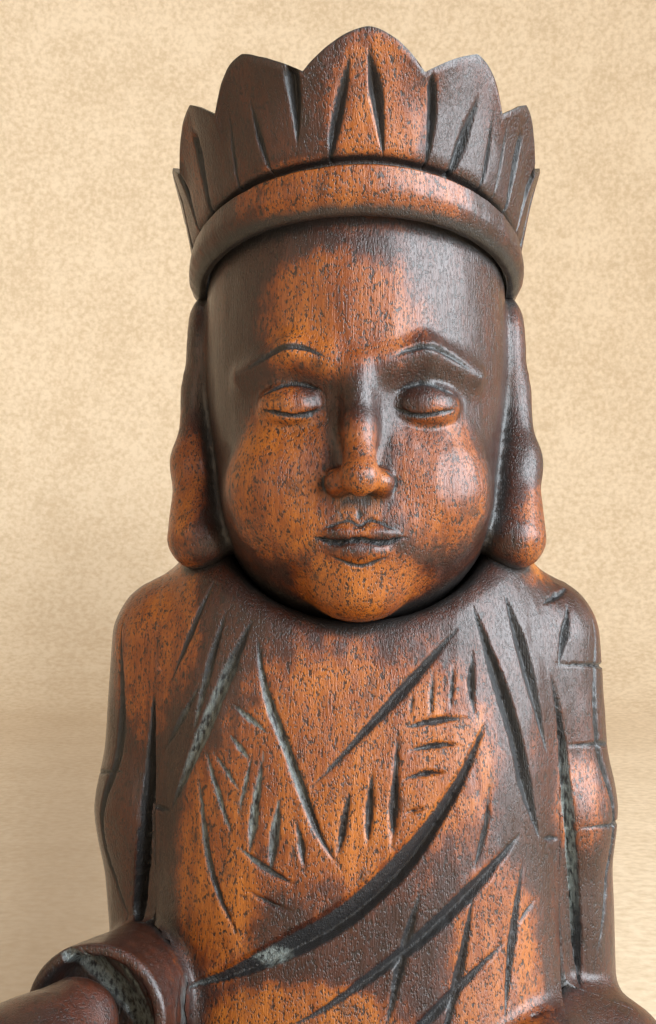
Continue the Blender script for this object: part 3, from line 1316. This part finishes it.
def felt_pad():
    """A thin felt sheet with a cut edge that bulges a little."""
    around = 360
    thick, inside_rim = 1.5, 7.3
    half_width, half_depth = PLINTH["half_width"] - inside_rim, PLINTH["half_depth"] - inside_rim
    # the section of its edge: how far in, as a share of 12 mm, and height
    lower_half = [(1.0, 0.0), (0.6, 0.0), (0.25, 0.0), (0.06, 0.05), (0.0, 0.35)]
    section = lower_half + [(share, thick - height) for share, height in reversed(lower_half)]
    turn = np.linspace(-math.pi, math.pi, around, endpoint=False)
    wave = 0.15 * noise(np.stack([np.cos(turn), np.sin(turn), 0 * turn], axis=1), (14, 14, 1))
    rings = []
    for share, height in section:
        out = wave * (share < 0.1) - 12 * share
        x, y = np.sin(turn) * (half_width + out), -np.cos(turn) * (half_depth + out)
        rings.append(np.stack([x, y, 0 * turn + height], axis=1))
    points, faces = capped(np.concatenate(rings), around, 0, thick)
    piece = put_mesh("felt_sheet", points, *all_quads(faces), figure=False)
    piece.data.materials.append(material_of("felt"))
    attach(piece, "root")
    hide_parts("felt_pad")


# ---------------------------------------------------------------- camera, light and stage


def look_at(thing, target):
    way = vec(*target) - vec(*thing.location)
    flat = math.hypot(way[0], way[1])
    thing.rotation_euler = (math.atan2(flat, -way[2]), 0, math.atan2(-way[0], way[1]))


def camera():
    data = bpy.data.cameras.new("camera")
    data.lens = 52.7
    data.clip_start = 0.01
    eye = bpy.data.objects.new("camera", data)
    eye.location = (-0.0064, -0.318, 0.205)
    eye.rotation_euler = (math.radians(90), 0, 0)
    bpy.context.scene.collection.objects.link(eye)
    bpy.context.scene.camera = eye


def area_light(name, place, target, size, power, color):
    data = bpy.data.lights.new(name, "AREA")
    data.shape = "RECTANGLE"
    data.size, data.size_y = size
    data.energy = power
    data.color = color
    data.spread = 2.3
    lamp = bpy.data.objects.new(name, data)
    lamp.location = place
    lamp.visible_camera = False
    look_at(lamp, target)
    bpy.context.scene.collection.objects.link(lamp)


def lights():
    """A big cool window to the figure's left, a warm fill opposite and a wash on the backdrop."""
    area_light("window", (1.07, -0.61, 0.60), (0, 0, 0.2), (1.5, 1.1), 42.0, (0.84, 0.93, 1.0))
    area_light("fill", (-0.6, -0.75, 0.45), (0, 0, 0.18), (0.7, 0.7), 0.9, (1.0, 0.84, 0.66))
    area_light("wash", (0.0, 0.25, 1.7), (0, 1.5, 0.15), (1.8, 0.5), 7.4, (1.0, 0.98, 0.97))
    world = bpy.data.worlds.new("world")
    world.use_nodes = True
    background = world.node_tree.nodes["Background"]
    background.inputs["Color"].default_value = (1.0, 0.86, 0.70, 1)
    background.inputs["Strength"].default_value = 0.22
    bpy.context.scene.world = world
    bpy.context.scene.view_settings.view_transform = "Standard"


def stage():
    """A pale round floor that curves up into a wall, low in front, with a soft shade on one side."""
    g = Graph("paper")
    mottle = g.noise((14, 14, 14), detail=5, roughness=0.65)
    fleck = g.noise((170, 170, 170), detail=3)
    tone = g.math("ADD", g.math("MULTIPLY", mottle, 0.35), g.math("MULTIPLY", fleck, 0.65))
    paper = g.ramp(tone, [(0.38, (0.57, 0.440, 0.292)), (0.60, (0.71, 0.575, 0.410))])
    dusk = g.math("MULTIPLY", g.value("dusk"), 0.82)
    g.set(g.shader.inputs["Base Color"], g.mix(dusk, paper, (0.20, 0.13, 0.07)))
    g.shader.inputs["Roughness"].default_value = 0.9
    flat, bend, tall, around = 1.2, 0.4, 2.2, 240
    section = [(r, 0.0) for r in np.linspace(0.0005, flat, 41)]
    section += [
        (flat + bend * math.sin(a), bend - bend * math.cos(a)) for a in np.linspace(0, math.pi / 2, 19)[1:]
    ]
    section += [(flat + bend, z) for z in np.linspace(bend, tall, 20)[1:]]
    turn = np.linspace(0, 2 * math.pi, around, endpoint=False)
    rise = 0.55 + 0.45 * np.sin(turn)
    rings = [
        np.stack([r * np.cos(turn), r * np.sin(turn), min(z, bend) + max(z - bend, 0) * rise], axis=1)
        for r, z in section
    ]
    points = np.concatenate(rings)
    quads = wrapped(len(section), around)[: (len(section) - 1) * around]
    floor = put_mesh("paper_bowl", points / MM, *all_quads(quads), figure=False)
    near, far = vec(-0.115, 0.27, 0.0), vec(-0.29, 1.5, 0.05)
    share = np.clip((points - near) @ (far - near) / ((far - near) @ (far - near)), 0, 1)
    gap = np.linalg.norm(points - near - share[:, None] * (far - near), axis=1)
    put_values(floor, dusk=np.exp(-((gap / (0.075 + 0.10 * share)) ** 2)) * (1 - 0.5 * share))
    floor.data.materials.append(g.material)


# ---------------------------------------------------------------- the whole

camera()
lights()
stage()

robe_strokes = CHEST_STROKES + SEAM_STROKES
carved_block(
    "carved_head", head, "head", 1.2, front=FACE_STROKES, back=HAIR_STROKES,
    also=lambda p: (p[:, 1] < -24) & (p[:, 2] > 192) & (p[:, 2] < 246),
)
trunk_seams = (robe, [lambda p: beyond_seam(p, -1), lambda p: beyond_seam(p, 1), above_lap])
carved_block(
    "carved_trunk", trunk_block, "trunk_block", 1.2, trunk_seams, margin=6,
    front=robe_strokes, back=BACK_STROKES,
)
for arm, side, sides in (
    (RIGHT, "right", {"right": RIGHT_SIDE_STROKES}),
    (LEFT, "left", {"left": LEFT_SIDE_STROKES}),
):
    carved_block(
        f"carved_{side}_arm", lambda p: arm_block(p, arm), f"{side}_arm_block", 1.2,
        (robe, [lambda p: -beyond_seam(p, arm["side"]), behind_forearm, above_lap]),
        margin=8, front=robe_strokes, back=BACK_STROKES, **sides,
    )
    carved_block(
        f"carved_{side}_forearm", lambda p: forearm_block(p, arm), f"{side}_forearm", 1.0,
        (lambda p: cloth_of(p, arm), [lambda p: -behind_forearm(p)]),
        margin=6, front=RIGHT_SLEEVE_STROKES if arm is RIGHT else (), **sides,
    )
carved_block(
    "carved_right_hand", lambda p: hand_block(p, right_hand, RIGHT), "right_hand", 0.8, margin=4,
    front=HAND_STROKES,
)
carved_block("carved_left_hand", lambda p: hand_block(p, left_hand, LEFT), "left_hand", 0.8, margin=4)
carved_block(
    "carved_lap", lap_block, "lap_block", 1.5, margin=4,
    front=LAP_STROKES, top=LAP_TOP_STROKES, back=LAP_BACK_STROKES,
)
crown()
plinth()
felt_pad()

for node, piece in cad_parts.items():
    for word, finish in (("dowel", "dowel_wood"), ("screw", "screw_steel")):
        if word in node:
            piece.data.materials.clear()
            piece.data.materials.append(material_of(finish))
